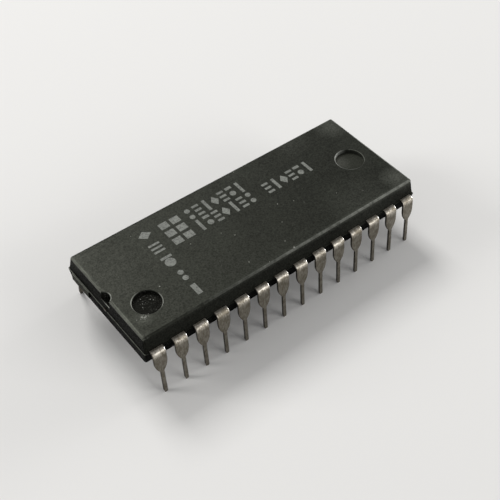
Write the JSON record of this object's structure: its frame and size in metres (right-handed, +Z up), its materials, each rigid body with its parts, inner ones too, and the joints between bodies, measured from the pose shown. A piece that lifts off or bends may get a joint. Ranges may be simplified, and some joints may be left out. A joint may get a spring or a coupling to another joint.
{
  "type": "programmable logic array chip",
  "caption": "Plastic dual-in-line logic chip: drafted black body with end notch and index recess, and two rows of bent tinned leads with tapered shoulders.",
  "frame": {"origin": "centre of the footprint at the level of the lead tips, which stand on the board or table", "axes": "+X along the package away from the notched end, +Z up through the top face; pin 1 is at the -X -Y corner and the numbers run anticlockwise seen from above"},
  "size_m": [0.0358, 0.0162, 0.0077],
  "materials": {
    "moulding_compound": "matte black moulding compound, fine grain",
    "tinned_lead": "dull tin plate",
    "lead_frame_copper": "bare stamped copper alloy",
    "die_adhesive": "silver-filled adhesive",
    "silicon": "polished silicon",
    "gold_wire": "drawn gold"
  },
  "bodies": {
    "root": {"moulded_body": "moulding_compound", "die_paddle": "lead_frame_copper", "die_attach": "die_adhesive", "silicon_die": "silicon", "lead_01": "tinned_lead", "lead_02": "tinned_lead", "lead_03": "tinned_lead", "lead_04": "tinned_lead", "lead_05": "tinned_lead", "lead_06": "tinned_lead", "lead_07": "tinned_lead", "lead_08": "tinned_lead", "lead_09": "tinned_lead", "lead_10": "tinned_lead", "lead_11": "tinned_lead", "lead_12": "tinned_lead", "lead_13": "tinned_lead", "lead_14": "tinned_lead", "lead_15": "tinned_lead", "lead_16": "tinned_lead", "lead_17": "tinned_lead", "lead_18": "tinned_lead", "lead_19": "tinned_lead", "lead_20": "tinned_lead", "lead_21": "tinned_lead", "lead_22": "tinned_lead", "lead_23": "tinned_lead", "lead_24": "tinned_lead", "lead_25": "tinned_lead", "lead_26": "tinned_lead", "lead_27": "tinned_lead", "lead_28": "tinned_lead", "bond_wire_01": "gold_wire", "bond_wire_02": "gold_wire", "bond_wire_03": "gold_wire", "bond_wire_04": "gold_wire", "bond_wire_05": "gold_wire", "bond_wire_06": "gold_wire", "bond_wire_07": "gold_wire", "bond_wire_08": "gold_wire", "bond_wire_09": "gold_wire", "bond_wire_10": "gold_wire", "bond_wire_11": "gold_wire", "bond_wire_12": "gold_wire", "bond_wire_13": "gold_wire", "bond_wire_14": "gold_wire", "bond_wire_15": "gold_wire", "bond_wire_16": "gold_wire", "bond_wire_17": "gold_wire", "bond_wire_18": "gold_wire", "bond_wire_19": "gold_wire", "bond_wire_20": "gold_wire", "bond_wire_21": "gold_wire", "bond_wire_22": "gold_wire", "bond_wire_23": "gold_wire", "bond_wire_24": "gold_wire", "bond_wire_25": "gold_wire", "bond_wire_26": "gold_wire", "bond_wire_27": "gold_wire", "bond_wire_28": "gold_wire"}
  },
  "joints": []
}
